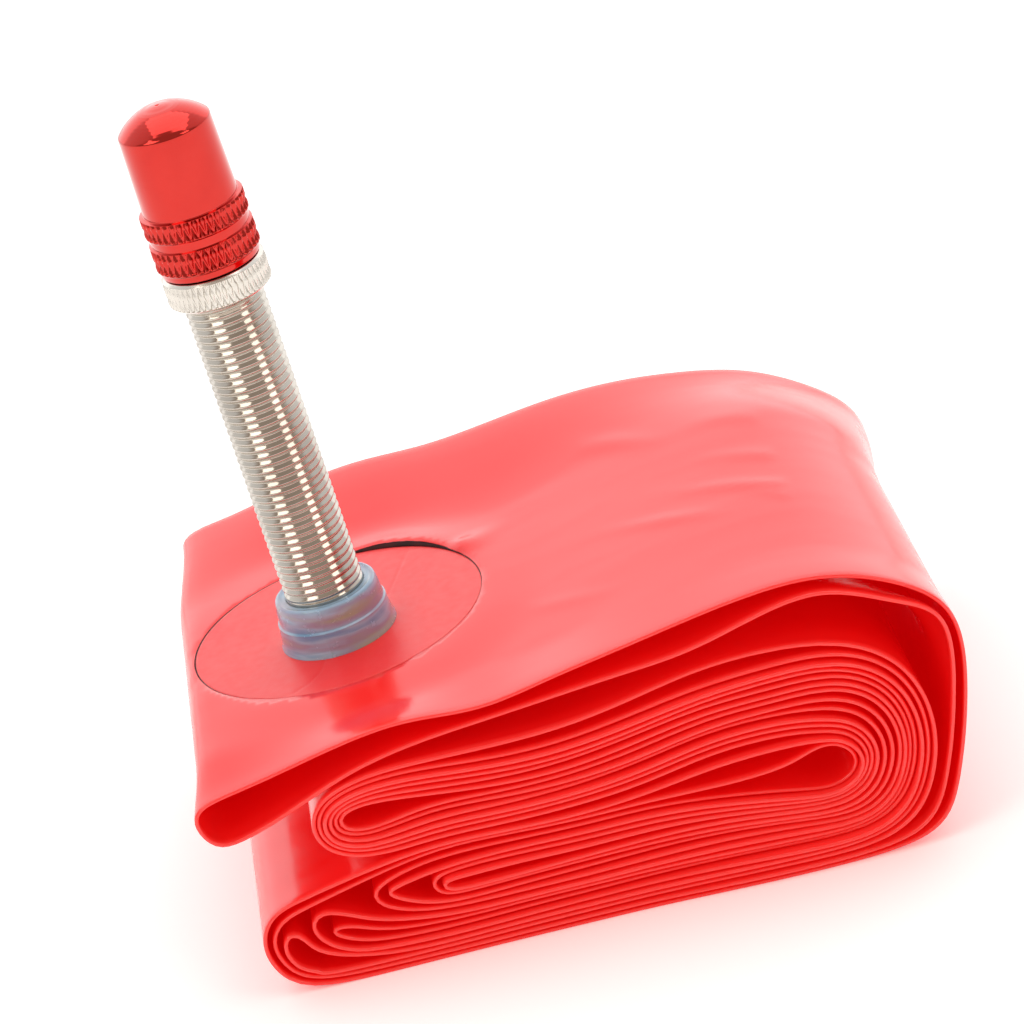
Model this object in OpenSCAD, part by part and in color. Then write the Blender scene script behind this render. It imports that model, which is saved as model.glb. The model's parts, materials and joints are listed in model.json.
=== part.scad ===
// Folded bicycle inner tube with a 42 mm presta valve.
// X runs along the bundle, Y across the flat tube and Z up. The bundle rests on z = 0.

/* [Tube] */
// Width of the tube when it lies flat
flat_w = 43; // [36:0.5:50]
// Thickness of the flat tube, which is two films
flat_t = 0.3; // [0.2:0.02:0.32]

/* [Valve base] */
// Place of the valve's foot along the bundle
foot_x = -13.5; // [-14.5:0.1:-12.5]
// Place of the valve's foot across the bundle
foot_y = -3.5; // [-5:0.5:3]
// Height of the patch's top at the foot
foot_z = 18.2; // [18.2:0.1:19]
// Lean of the valve towards the flap end, in degrees
lean = 4.1; // [3:0.1:6]
// Diameter of the reinforcing patch
patch_d = 21.5; // [18:0.5:24]
// Thickness of the patch
patch_t = 0.3; // [0.2:0.05:0.4]
// Distance of the patch's centre behind the stem
patch_back = 1.8; // [0:0.1:2]
// Diameter of the collar at its foot
collar_d = 8.5; // [8:0.1:9.5]
// Height of the collar
collar_h = 3.8; // [3:0.1:4.5]

/* [Valve] */
// Diameter of the threaded stem
stem_d = 5.8; // [5.6:0.1:6]
// Length of the stem above the patch
stem_h = 29.85; // [28:0.05:33]
// Pitch of the stem's thread
pitch = 0.58; // [0.5:0.02:0.8]
// Diameter of the rim nut
nut_d = 7.5; // [7.4:0.1:9]
// Height of the rim nut
nut_h = 2.3; // [1.8:0.1:2.6]
// Length of the dust cap
cap_h = 12.05; // [12.05:0.05:14]
// Diameter of the dust cap's lower band
cap_d = 7.55; // [7.5:0.05:8.4]
// Travel of the pin when air is let out
pin_travel = 1.2; // [0.8:0.1:1.4]

/* [Hidden] */
$fn = 64;
run = 0.05;              // radial clearance of a running fit
part_gap = 0.1;          // gap between the stacked nut, stem and cap
stem_r = stem_d / 2;
stem_bore = 1.5;
core_bore = 2.1;         // the wider bore that holds the core
core_r = core_bore - 0.02;
core_foot = stem_h - 6.6;    // lower end of the core body, above the patch
neck_r = 2.6;            // the thread that the cap screws onto
neck_top = stem_h + 6.35;
gasket_low = core_foot + 4.15;
pin_r = 0.75;
pin_top = neck_top + 4.4;
lock_r = 1.9;
lock_h = 2.2;
cap_foot = stem_h + 0.15;
cap_top = cap_foot + cap_h;

// The loop has 32 rows, counted from the top. Each row ends in a fold at both ends.
// On the right, row i turns into row 33 - i.
ROWS = 32;
STATIONS = [-20, -15, -10, -5, 0, 5, 10, 15];
// Row number, then the height of its middle at each station that it reaches.
// Rows in between are spread evenly.
HEIGHTS = [
    [1,  [17.25, 17.6, 17.95, 18.3, 18.7, 20.0, 21.0, 21.6]],
    [2,  [14.4, 15.8, 17.0, 17.4, 17.8, 18.5, 18.9, 20.2]],
    [3,  [15.5, 15.4, 15.4, 16.1, 17.2, 17.4]],
    [4,  [15.0, 14.4, 14.3, 15.0, 15.9, 16.2]],
    [8,  [12.9, 12.3, 12.2, 12.9, 13.9, 13.9]],
    [9,  [12.1, 11.7, 11.7, 12.3, 13.4, 13.4]],
    [14, [9.6, 9.4, 9.4, 9.7, 10.8, 10.8]],
    [15, [7.2, 8.3, 9.05, 8.8, 8.6, 8.9, 9.8, 10.0]],
    [16, [6.4, 7.6, 8.55, 8.3, 8.1, 8.3, 8.1, 8.2]],
    [17, [7.9, 7.8, 7.6, 7.7, 7.5, 6.9]],
    [18, [7.1, 7.3, 7.1, 7.2, 7.0, 6.4]],
    [20, [6.3, 6.1, 6.2, 6.0, 5.5]],
    [21, [5.3, 5.4, 5.5, 5.5, 5.1]],
    [23, [4.2, 4.4, 4.4, 4.5, 4.5, 4.4]],
    [24, [3.8, 3.9, 3.9, 4, 4, 3.9]],
    [25, [4.0, 3.25, 3.4, 3.4, 3.5, 3.5, 3.4]],
    [26, [3.15, 2.75, 2.9, 2.9, 3, 3, 2.9]],
    [27, [2.5, 2.3, 2.45, 2.45, 2.5, 2.5, 2.45]],
    [28, [2.0, 1.85, 2, 2, 2.05, 2.05, 2]],
    [29, [2.6, 1.4, 1.4, 1.55, 1.55, 1.6, 1.6, 1.55]],
    [30, [1.05, 1.0, 1.0, 1.1, 1.1, 1.1, 1.1, 1.1]],
    [31, [0.62, 0.58, 0.58, 0.62, 0.62, 0.62, 0.62, 0.62]],
    [32, [for (x = STATIONS) flat_t / 2]]];

// Folds on the left: the two rows they join, then their guide points from the upper row down
SPIRAL_OUT = [[-14.6, 15.8], [-18.2, 14.1], [-18.2, 10.6], [-14.9, 9.0]];
SPIRAL_IN = [[-14.0, 13.4], [-16.2, 12.9], [-16.2, 11.6], [-14.0, 11.1]];
LEFT_FOLDS = concat([
    [1, 2, [[-24.0, 16.9], [-25.9, 16.2], [-26.2, 14.5], [-25.0, 13.0], [-23.4, 13.2]]],
    [15, 32, [[-22.8, 6.6], [-24.0, 4.1], [-22.9, 0.9]]],
    [16, 31, [[-22.2, 5.9], [-23.3, 4.0], [-22.3, 1.4]]],
    [17, 24, [[-13.2, 7.3], [-15.4, 6.4], [-14.9, 5.1], [-12.8, 4.2]]],
    [18, 23, [[-12.8, 6.6], [-14.4, 6.2], [-13.6, 5.5], [-12.2, 4.8]]],
    [19, 22, [[-8.8, 6.75], [-11.2, 6.4], [-10.8, 4.9], [-8.6, 4.75]]],
    [20, 21, [[-8.2, 6.2], [-10.4, 6.2], [-10.2, 5.3], [-8.0, 5.25]]],
    [25, 28, [[-17.2, 5.2], [-19.1, 6.0], [-20.1, 4.9], [-19.2, 3.25], [-17.3, 2.25]]],
    [26, 27, [[-16.8, 4.1], [-18.3, 4.4], [-18.7, 3.9], [-17.1, 3.0]]],
    [29, 30, [[-20.9, 4.4], [-22.1, 5.0], [-22.8, 3.5], [-21.8, 1.7], [-20.6, 1.4]]]],
    [for (k = [0:5]) [3 + k, 14 - k, between(SPIRAL_OUT, SPIRAL_IN, k / 5)]]);

// Folds on the right, from the upper row down
WRAP_OUT = [[20.4, 21.9], [25.4, 19.9], [28.8, 17.2], [28.7, 11.2], [27.0, 2.9], [21.5, 0.15]];
WRAP_IN = [[20.0, 20.9], [24.5, 18.6], [28.1, 16.8], [27.6, 11.0], [26.1, 3.1], [20.8, 0.62]];
NEST_OUT = [[20.2, 16.9], [24.4, 14.3], [26.0, 9.0], [24.6, 3.1], [19.6, 1.15]];
NEST_IN = [[17.2, 9.3], [19.2, 9.2], [20.0, 7.5], [18.6, 6.6], [17.0, 6.4]];

function mix(a, b, s) = a + (b - a) * s;
function between(p, q, s) = [for (i = [0:len(p) - 1]) mix(p[i], q[i], s)];
function reversed(list) = [for (i = [len(list) - 1:-1:0]) list[i]];
function entry(row) = [for (h = HEIGHTS) if (h[0] == row) h[1]];
function above(row) = max([for (h = HEIGHTS) if (h[0] < row) h[0]]);
function below(row) = min([for (h = HEIGHTS) if (h[0] > row) h[0]]);
// A row spread between two listed rows reaches as far as the shorter of them
function heights(row) = len(entry(row)) > 0 ? entry(row)[0]
    : spread(heights(above(row)), heights(below(row)), (row - above(row)) / (below(row) - above(row)));
function spread(a, b, s) =
    let (n = min(len(a), len(b)))
    [for (i = [0:n - 1]) mix(a[len(a) - n + i], b[len(b) - n + i], s)];
function row_points(row) =
    let (z = heights(row), skip = len(STATIONS) - len(z))
    [for (i = [0:len(z) - 1]) [STATIONS[skip + i], z[i]]];
function right_fold(row) =
    row == 1 ? WRAP_OUT : row == 2 ? WRAP_IN : between(NEST_OUT, NEST_IN, (row - 3) / 13);
function left_partner(row) =
    [for (f = LEFT_FOLDS) if (f[0] == row || f[1] == row) f[0] == row ? f[1] : f[0]][0];
function left_fold(row) =
    [for (f = LEFT_FOLDS) if (f[0] == row || f[1] == row) f[0] == row ? f[2] : reversed(f[2])][0];

// Guide points of the whole loop: along a row to the right, round its fold, back along the
// row that this leads to, and round the left fold to the next row
function trip(row) =
    let (back = ROWS + 1 - row)
    concat(row_points(row),
           row < back ? right_fold(row) : reversed(right_fold(back)),
           reversed(row_points(back)), left_fold(back));
function loop_from(row, trips) =
    trips == 0 ? [] : concat(trip(row), loop_from(left_partner(ROWS + 1 - row), trips - 1));
GUIDE = loop_from(1, ROWS / 2);

// The tube's middle line is a closed cubic B-spline over the guide points
STEPS = 2;
function guide(i) = GUIDE[(i + len(GUIDE)) % len(GUIDE)];
function spline(i, s) =
    (pow(1 - s, 3) * guide(i - 1) + (3 * pow(s, 3) - 6 * s * s + 4) * guide(i)
     + (-3 * pow(s, 3) + 3 * s * s + 3 * s + 1) * guide(i + 1) + pow(s, 3) * guide(i + 2)) / 6;
LINE = [for (i = [0:len(GUIDE) - 1]) for (k = [0:STEPS - 1]) spline(i, k / STEPS)];
function normal(i) =
    let (n = len(LINE), d = LINE[(i + 1) % n] - LINE[(i + n - 1) % n])
    [-d[1], d[0]] / norm(d);
function offset_line(distance) = [for (i = [0:len(LINE) - 1]) LINE[i] + distance * normal(i)];

module on_valve() {
    translate([foot_x, foot_y, foot_z]) rotate([0, -lean, 0]) children();
}

module ring(outer, inner, low, high) {
    translate([0, 0, low]) difference() {
        cylinder(r = outer, h = high - low);
        translate([0, 0, -1]) cylinder(r = inner, h = high - low + 2);
    }
}

// The flat tube, folded over itself as one closed loop
module tube() {
    color("red") rotate([90, 0, 0]) linear_extrude(flat_w, center = true) difference() {
        polygon(offset_line(flat_t / 2));
        polygon(offset_line(-flat_t / 2));
    }
}

// The disc that is welded to the tube around the valve
module valve_patch() {
    color("indianred") on_valve() difference() {
        translate([0, patch_back, -patch_t]) cylinder(d = patch_d, h = patch_t);
        translate([0, 0, -1]) cylinder(r = stem_bore, h = 2);
    }
}

// The moulded collar around the foot of the stem, with a step halfway up
module valve_collar() {
    step_h = 0.52 * collar_h;
    top_r = collar_d / 2 - 0.35;
    color("slategray") on_valve() rotate_extrude() polygon([
        [stem_r, 0], [collar_d / 2, 0], [collar_d / 2 - 0.05, 0.6], [collar_d / 2 - 0.3, step_h],
        [top_r, step_h + 0.1], [top_r - 0.1, collar_h - 0.5], [top_r - 0.3, collar_h],
        [top_r - 0.5, collar_h], [stem_r + 0.2, collar_h - 0.6], [stem_r, collar_h - 0.6]]);
}

// The threaded stem; its thread is cut as rings
module valve_stem() {
    depth = 0.3;
    thread_foot = collar_h - 0.6;
    turns = floor((stem_h - 0.5 - thread_foot) / pitch);
    rings = [for (i = [0:turns - 1]) each [
        [stem_r, thread_foot + i * pitch + 0.1 * pitch],
        [stem_r - depth, thread_foot + (i + 0.55) * pitch],
        [stem_r, thread_foot + (i + 1) * pitch]]];
    color("silver") on_valve() difference() {
        rotate_extrude() polygon(concat([[0, 0], [stem_r, 0]], rings,
            [[stem_r - 0.3, stem_h], [0, stem_h]]));
        translate([0, 0, -1]) cylinder(r = stem_bore, h = stem_h + 2);
        translate([0, 0, core_foot - 0.5]) cylinder(r = core_bore, h = stem_h);
    }
}

// The core: a plug inside the stem and a threaded neck with two spanner flats
module core_body() {
    flats = 4.4;
    color("gold") on_valve() difference() {
        union() {
            translate([0, 0, core_foot]) cylinder(r = core_r, h = stem_h - core_foot + 0.1);
            translate([0, 0, stem_h + 0.02]) cylinder(r = neck_r, h = neck_top - stem_h - 0.02);
        }
        for (side = [-1, 1]) translate([side * (flats / 2 + 2) - 2, -5, neck_top - 3])
            cube([4, 10, 4]);
        ring(3, core_r - 0.35, gasket_low - 0.05, gasket_low + 0.75);
        translate([0, 0, core_foot - 1]) cylinder(r = pin_r + 0.4, h = neck_top - core_foot - 1);
        cylinder(r = pin_r + run, h = neck_top + 1);
    }
}

// The rubber ring in the core's groove
module core_gasket() {
    color("dimgray") on_valve() ring(core_bore - 0.01, core_r - 0.34, gasket_low, gasket_low + 0.7);
}

// The pin that is pressed to let air out, with a head that holds the seal
module core_pin() {
    color("gold") on_valve() union() {
        translate([0, 0, core_foot - 2]) cylinder(r = pin_r, h = pin_top - core_foot + 1.7);
        translate([0, 0, core_foot - 2]) cylinder(r = 1.1, h = 0.6);
        translate([0, 0, pin_top - 0.3]) cylinder(r1 = pin_r, r2 = pin_r - 0.25, h = 0.3);
    }
}

// The rubber seal that the pin holds against the foot of the core
module core_seal() {
    color("black") on_valve() ring(1.3, pin_r + 0.01, core_foot - 1.38, core_foot - 0.02);
}

// The small nut that locks the pin
module core_lock_nut() {
    low = neck_top + run;
    edge = 0.3;
    color("gold") on_valve() rotate_extrude() polygon([
        [pin_r + run, low], [lock_r - edge, low], [lock_r, low + edge],
        [lock_r, low + lock_h - edge], [lock_r - edge, low + lock_h], [pin_r + run, low + lock_h]]);
}

// The nut that holds the stem in the rim
module rim_nut() {
    top = stem_h + 0.05;
    low = top - nut_h;
    edge = 0.3;
    color("silver") on_valve() rotate_extrude() polygon([
        [stem_r + run, low], [nut_d / 2 - edge, low], [nut_d / 2, low + edge],
        [nut_d / 2, top - edge], [nut_d / 2 - edge, top], [stem_r + run, top]]);
}

// The dust cap: two bands, a slightly tapered body and a dome
module dust_cap() {
    band_r = cap_d / 2;
    groove_r = band_r - 0.25;
    body_r = band_r - 0.325;
    shoulder_r = body_r - 0.13;
    dome_h = 1.6;
    dome_r = (shoulder_r * shoulder_r + dome_h * dome_h) / (2 * dome_h);
    bore = neck_r + run;
    head_room = neck_top + run + lock_h + pin_travel + 0.25;
    dome = [for (s = [0:0.125:1]) let (a = (1 - s) * asin(shoulder_r / dome_r))
        [dome_r * sin(a), cap_top - dome_r + dome_r * cos(a)]];
    color("firebrick") on_valve() difference() {
        rotate_extrude() polygon(concat([
            [0, cap_foot], [band_r - 0.4, cap_foot], [band_r, cap_foot + 0.55],
            [band_r, cap_foot + 2.35], [groove_r, cap_foot + 2.65], [groove_r, cap_foot + 2.85],
            [band_r, cap_foot + 3.15], [band_r, cap_foot + 4.6], [body_r, cap_foot + 4.6]], dome));
        translate([0, 0, cap_foot - 1]) cylinder(r = bore, h = head_room - cap_foot + 1);
        translate([0, 0, cap_foot]) cylinder(r = pin_r + 0.5, h = pin_top + 0.4 - cap_foot);
    }
}

tube();
valve_patch();
valve_collar();
valve_stem();
core_body();
core_gasket();
core_pin();
core_seal();
core_lock_nut();
rim_nut();
dust_cap();
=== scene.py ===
import json
import math

import bpy
import numpy as np
from mathutils import Matrix, Vector


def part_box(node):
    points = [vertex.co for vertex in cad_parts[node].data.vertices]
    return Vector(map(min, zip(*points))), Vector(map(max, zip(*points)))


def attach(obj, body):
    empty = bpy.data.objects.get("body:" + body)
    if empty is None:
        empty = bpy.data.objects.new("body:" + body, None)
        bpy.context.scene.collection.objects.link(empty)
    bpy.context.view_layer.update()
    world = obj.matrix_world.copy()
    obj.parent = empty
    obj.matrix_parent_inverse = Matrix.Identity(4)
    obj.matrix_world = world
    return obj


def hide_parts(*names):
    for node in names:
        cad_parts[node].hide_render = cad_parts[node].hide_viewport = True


# A bicycle's inner tube, folded into a bundle, with its presta valve standing on top.
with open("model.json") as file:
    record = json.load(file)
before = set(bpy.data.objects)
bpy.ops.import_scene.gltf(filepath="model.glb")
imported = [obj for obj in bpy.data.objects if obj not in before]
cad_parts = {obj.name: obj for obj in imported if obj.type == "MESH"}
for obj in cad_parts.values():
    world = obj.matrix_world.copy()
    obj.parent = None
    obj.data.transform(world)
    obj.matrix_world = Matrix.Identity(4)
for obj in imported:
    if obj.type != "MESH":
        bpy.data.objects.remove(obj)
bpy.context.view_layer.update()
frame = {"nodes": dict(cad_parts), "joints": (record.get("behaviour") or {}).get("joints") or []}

# All shapes below are worked out in millimetres, in the frame's axes, and scaled by MM.
MM = 0.001
scene = bpy.context.scene
scene.view_settings.view_transform = "Standard"


# ---------------------------------------------------------------- the valve's place and sizes
# The valve's own coordinates start on the patch's top at the foot of the stem, with +Z up the stem.
valve_axis = Vector(next(j["axis"] for j in frame["joints"] if j["name"] == "cap_lift")).normalized()
stem_low, stem_high = (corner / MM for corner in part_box("valve_stem"))
STEM_R = (stem_high.y - stem_low.y) / 2
FOOT = Vector((stem_high.x - STEM_R * valve_axis.z, (stem_low.y + stem_high.y) / 2,
               stem_low.z + STEM_R * abs(valve_axis.x)))
LEAN = math.atan2(-valve_axis.x, valve_axis.z)
VALVE = Matrix.Translation(FOOT) @ Matrix.Rotation(-LEAN, 4, "Y")

PATCH_R = 10.75
PATCH_BACK = 1.8  # the patch's middle lies this far behind the stem
PATCH_T = 0.3
STEM_TOP = 29.85
STEM_BORE = 1.5
STEM_PITCH = 0.58
CORE_BORE = 2.1  # the wider bore at the stem's top, which holds the core
CORE_FOOT = STEM_TOP - 6.6
NECK_R = 2.6
NECK_TOP = STEM_TOP + 6.35
PIN_R = 0.75
PIN_BORE = PIN_R + 0.06
PIN_TOP = NECK_TOP + 4.4
NUT_R = 3.75
NUT_H = 2.3
CAP_R = 3.775
CAP_FOOT = STEM_TOP + 0.15
CAP_TOP = CAP_FOOT + 12.05
SHOULDER_R = CAP_R - 0.455
DOME_H = 1.5


# ---------------------------------------------------------------- camera
CAMERA_TARGET = Vector((0.5, 5.0, 20.3))
CAMERA_DISTANCE = 414
CAMERA_ELEVATION = math.radians(24)
CAMERA_ROLL = math.radians(13.8)
CAMERA_LENS = 200


def add_camera():
    """A long lens in front of the bundle, a little above it and turned about its own axis."""
    data = bpy.data.cameras.new("camera")
    data.lens = CAMERA_LENS
    data.sensor_width = 36
    data.clip_start = 0.01
    data.clip_end = 20
    camera = bpy.data.objects.new("camera", data)
    back = Vector((0, -math.cos(CAMERA_ELEVATION), math.sin(CAMERA_ELEVATION)))
    turn = back.to_track_quat("Z", "Y").to_matrix().to_4x4() @ Matrix.Rotation(-CAMERA_ROLL, 4, "Z")
    camera.matrix_world = Matrix.Translation((CAMERA_TARGET + CAMERA_DISTANCE * back) * MM) @ turn
    scene.collection.objects.link(camera)
    scene.camera = camera


# ---------------------------------------------------------------- material helpers
NOISE_LOW, NOISE_HIGH = 0.3, 0.7  # nearly all of a noise texture lies between these
MIX_A, MIX_B, MIX_RESULT = 6, 7, 2  # the colour sockets of a mix node


def shader(name, **sockets):
    """A new material, with its principled shader's sockets set; _ stands for a space in a name."""
    material = bpy.data.materials.new(name)
    material.use_nodes = True
    surface = material.node_tree.nodes["Principled BSDF"]
    for label, value in sockets.items():
        surface.inputs[label.replace("_", " ")].default_value = value
    return material, material.node_tree, surface


def node(tree, kind, **settings):
    """Adds a node. A setting is a socket's value where the node has that socket."""
    made = tree.nodes.new(kind)
    for label, value in settings.items():
        if label in made.inputs:
            made.inputs[label].default_value = value
        else:
            setattr(made, label, value)
    return made


def object_noise(tree, scale, detail=4.0, rough=0.5, stretch=(1, 1, 1)):
    """Noise over the piece's own coordinates; scale is in cycles per metre."""
    where = node(tree, "ShaderNodeTexCoord")
    mapping = node(tree, "ShaderNodeMapping", Scale=stretch)
    noise = node(tree, "ShaderNodeTexNoise", Scale=scale, Detail=detail, Roughness=rough)
    tree.links.new(where.outputs["Object"], mapping.inputs["Vector"])
    tree.links.new(mapping.outputs["Vector"], noise.inputs["Vector"])
    return noise.outputs["Fac"]


def ramp(tree, factor, *stops):
    """Blends between colours. A stop is its place from 0 to 1 and its red, green and blue."""
    made = node(tree, "ShaderNodeValToRGB")
    elements = made.color_ramp.elements
    elements.remove(elements[1])
    for i, (place, colour) in enumerate(stops):
        element = elements.new(place) if i else elements[0]
        element.position = place
        element.color = (*colour, 1)
    tree.links.new(factor, made.inputs["Fac"])
    return made.outputs["Color"]


def span(tree, factor, low, high, start=NOISE_LOW, end=NOISE_HIGH):
    """Maps factor from start..end to low..high."""
    made = node(tree, "ShaderNodeMapRange")
    made.inputs["From Min"].default_value = start
    made.inputs["From Max"].default_value = end
    made.inputs["To Min"].default_value = low
    made.inputs["To Max"].default_value = high
    tree.links.new(factor, made.inputs["Value"])
    return made.outputs["Result"]


def wandering(tree, scale, dark, light):
    """A colour that wanders between two shades."""
    return ramp(tree, object_noise(tree, scale), (NOISE_LOW, dark), (NOISE_HIGH, light))


def roughen(tree, surface, noise, low, high):
    """Spreads the surface's roughness from low to high with a noise."""
    tree.links.new(span(tree, noise, low, high), surface.inputs["Roughness"])


def bump(tree, surface, height, distance):
    """Adds a bump on top of those that the surface has; distance is in metres."""
    made = node(tree, "ShaderNodeBump", Strength=1.0, Distance=distance)
    tree.links.new(height, made.inputs["Height"])
    previous = surface.inputs["Normal"].links
    if previous:
        tree.links.new(previous[0].from_socket, made.inputs["Normal"])
    tree.links.new(made.outputs["Normal"], surface.inputs["Normal"])


# ---------------------------------------------------------------- materials
FILM_DARK = (0.81, 0.009, 0.01)
FILM_LIGHT = (0.9, 0.018, 0.016)
FILM_EDGE_LIGHT = (0.95, 0.045, 0.04, 1)
EDGE_LIGHT_BAND = (0.02085, 0.0213)  # metres from the tube's middle, between which the film's colour turns to a painted edge light


def film_colour(tree, surface):
    """Red that wanders a little, and lighter at the cut edges: painted light, where light leaves the
    film.
    """
    red = wandering(tree, 60, FILM_DARK, FILM_LIGHT)
    where = node(tree, "ShaderNodeTexCoord")
    split = node(tree, "ShaderNodeSeparateXYZ")
    away = node(tree, "ShaderNodeMath", operation="ABSOLUTE")
    mixed = node(tree, "ShaderNodeMix", data_type="RGBA")
    tree.links.new(where.outputs["Object"], split.inputs["Vector"])
    tree.links.new(split.outputs["Y"], away.inputs[0])
    tree.links.new(span(tree, away.outputs["Value"], 0, 1, *EDGE_LIGHT_BAND), mixed.inputs["Factor"])
    tree.links.new(red, mixed.inputs[MIX_A])
    # A lighter red painted on the edges stands in for the light that comes out through the film
    # there.
    mixed.inputs[MIX_B].default_value = FILM_EDGE_LIGHT
    tree.links.new(mixed.outputs[MIX_RESULT], surface.inputs["Base Color"])


def film_material():
    """Glossy red film with faint scuffs and long drawn ripples. The faint glow stands for the light
    that comes through the thin film into its folds."""
    material, tree, surface = shader(
        "tube_film", Specular_IOR_Level=0.62, Subsurface_Weight=0.25, Subsurface_Scale=0.0008,
        Subsurface_Radius=(1.0, 0.08, 0.07), Emission_Color=(1, 0, 0.004, 1), Emission_Strength=0.09)
    film_colour(tree, surface)
    scuffs = object_noise(tree, 500, detail=6, rough=0.6, stretch=(0.3, 1, 1))
    ripples = object_noise(tree, 150, detail=2, stretch=(0.22, 1, 1))
    roughen(tree, surface, scuffs, 0.11, 0.21)
    bump(tree, surface, ripples, 0.00009)
    bump(tree, surface, object_noise(tree, 3600, detail=2), 0.0000012)
    return material


def patch_material():
    """The moulded patch: the same red with a satin face."""
    material, tree, surface = shader(
        "patch_film", Specular_IOR_Level=0.6, Subsurface_Weight=0.3, Subsurface_Scale=0.0008,
        Subsurface_Radius=(1.0, 0.15, 0.12))
    red = wandering(tree, 120, (0.85, 0.016, 0.018), (0.93, 0.03, 0.028))
    tree.links.new(red, surface.inputs["Base Color"])
    roughen(tree, surface, object_noise(tree, 1400, detail=5), 0.32, 0.44)
    bump(tree, surface, object_noise(tree, 2600, detail=3), 0.000002)
    return material


def gap_shade_material():
    """The near-black material of the ring in the cut round the patch: painted shade."""
    material, tree, surface = shader("patch_gap_painted_shade", Roughness=0.7, Specular_IOR_Level=0.2)
    # The ring's near-black base colour is painted shade where the cut lies in shadow.
    shadow = wandering(tree, 700, (0.012, 0.003, 0.003), (0.06, 0.006, 0.006))
    tree.links.new(shadow, surface.inputs["Base Color"])
    return material


def collar_material():
    """Smoky blue-grey moulding with a faint oily sheen in bands."""
    material, tree, surface = shader(
        "collar_plastic", IOR=1.5, Transmission_Weight=0.25, Subsurface_Weight=0.2,
        Subsurface_Scale=0.0015, Subsurface_Radius=(0.6, 0.7, 1.0), Coat_Weight=0.6,
        Coat_Roughness=0.08)
    bands = object_noise(tree, 420, detail=3, stretch=(0.35, 0.35, 2.2))
    blue, pale_blue = (0.19, 0.38, 0.62), (0.4, 0.6, 0.8)
    violet, olive = (0.4, 0.37, 0.52), (0.43, 0.47, 0.35)
    sheen = ramp(tree, bands, (0.3, blue), (0.42, pale_blue), (0.56, violet), (0.72, olive))
    tree.links.new(sheen, surface.inputs["Base Color"])
    roughen(tree, surface, object_noise(tree, 1500), 0.12, 0.3)
    bump(tree, surface, object_noise(tree, 1100, detail=2), 0.00001)
    return material


def metal_material(name, dark, light, rough, mark=0.000003, **extra):
    """Plated, turned or anodised metal: a tint that wanders, and fine marks of the tool, which are
    mark metres deep and spread the roughness between the two values of rough."""
    material, tree, surface = shader(name, Metallic=1.0, **extra)
    tree.links.new(wandering(tree, 300, dark, light), surface.inputs["Base Color"])
    marks = object_noise(tree, 2600, detail=5, stretch=(0.4, 0.4, 3))
    roughen(tree, surface, marks, *rough)
    bump(tree, surface, marks, mark)
    return material


def rubber_material():
    """Dull black rubber for the two hidden seals."""
    material, tree, surface = shader("seal_rubber", Specular_IOR_Level=0.35)
    black = wandering(tree, 900, (0.012, 0.012, 0.013), (0.03, 0.03, 0.032))
    tree.links.new(black, surface.inputs["Base Color"])
    roughen(tree, surface, object_noise(tree, 3000), 0.55, 0.75)
    bump(tree, surface, object_noise(tree, 3500), 0.00001)
    return material


FILM = film_material()
PATCH = patch_material()
GAP_SHADE = gap_shade_material()
COLLAR = collar_material()
NICKEL = metal_material(
    "nickel", dark=(0.5, 0.455, 0.4), light=(0.6, 0.56, 0.5), rough=(0.07, 0.13))
BRIGHT_NICKEL = metal_material(
    "bright_nickel", dark=(0.66, 0.62, 0.56), light=(0.76, 0.72, 0.66), rough=(0.16, 0.24))
ANODISED = metal_material(
    "red_anodised", dark=(0.58, 0.022, 0.015), light=(0.64, 0.03, 0.021), rough=(0.06, 0.09),
    mark=0.0000004, Coat_Weight=0.5, Coat_Roughness=0.03)
BRASS = metal_material(
    "brass", dark=(0.62, 0.46, 0.2), light=(0.74, 0.58, 0.3), rough=(0.2, 0.36))
RUBBER = rubber_material()


# ---------------------------------------------------------------- mesh helpers
AXIS = 0.01  # a turned part that is closed in the middle stops this far from its axis
FILLET_STEPS = 4
FILLET_SHARE = 0.45  # a fillet takes at most this share of each side that it joins


def add_mesh(name, points, faces, material, place=None):
    """Makes a smooth-shaded piece from points in millimetres; place turns them into the frame."""
    points = np.asarray(points, float)
    if place is not None:
        turn = np.array(place.to_3x3())
        points = points @ turn.T + np.array(place.translation)
    mesh = bpy.data.meshes.new(name)
    mesh.from_pydata((points * MM).tolist(), [], faces)
    mesh.materials.append(material)
    mesh.validate()
    mesh.polygons.foreach_set("use_smooth", np.ones(len(mesh.polygons), bool))
    made = bpy.data.objects.new(name, mesh)
    scene.collection.objects.link(made)
    return made


def tie(piece, body, slot, *nodes):
    """Ties a piece to its body and hides the CAD nodes that it stands for. slot is not used."""
    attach(piece, body)
    if nodes:
        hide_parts(*nodes)


def grid_faces(rows, columns):
    """Quads over a grid of points, numbered row by row, that is closed both ways."""
    faces = []
    for row in range(rows):
        here = row * columns
        there = (row + 1) % rows * columns
        for column in range(columns):
            after = (column + 1) % columns
            faces.append((here + column, there + column, there + after, here + after))
    return faces


def fillet(outline):
    """Rounds the corners of a closed outline of (r, s, radius) points; radius 0 keeps a corner."""
    made = []
    count = len(outline)
    for i, (r, s, radius) in enumerate(outline):
        corner = np.array((r, s), float)
        if radius <= 0:
            made.append(corner)
            continue
        before = np.array(outline[i - 1][:2], float) - corner
        after = np.array(outline[(i + 1) % count][:2], float) - corner
        limits = [FILLET_SHARE * np.linalg.norm(side) for side in (before, after)]
        reach = min(radius, *limits)
        start = corner + reach * before / np.linalg.norm(before)
        end = corner + reach * after / np.linalg.norm(after)
        for k in range(FILLET_STEPS + 1):
            t = k / FILLET_STEPS
            made.append((1 - t) ** 2 * start + 2 * t * (1 - t) * corner + t * t * end)
    return made


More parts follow.
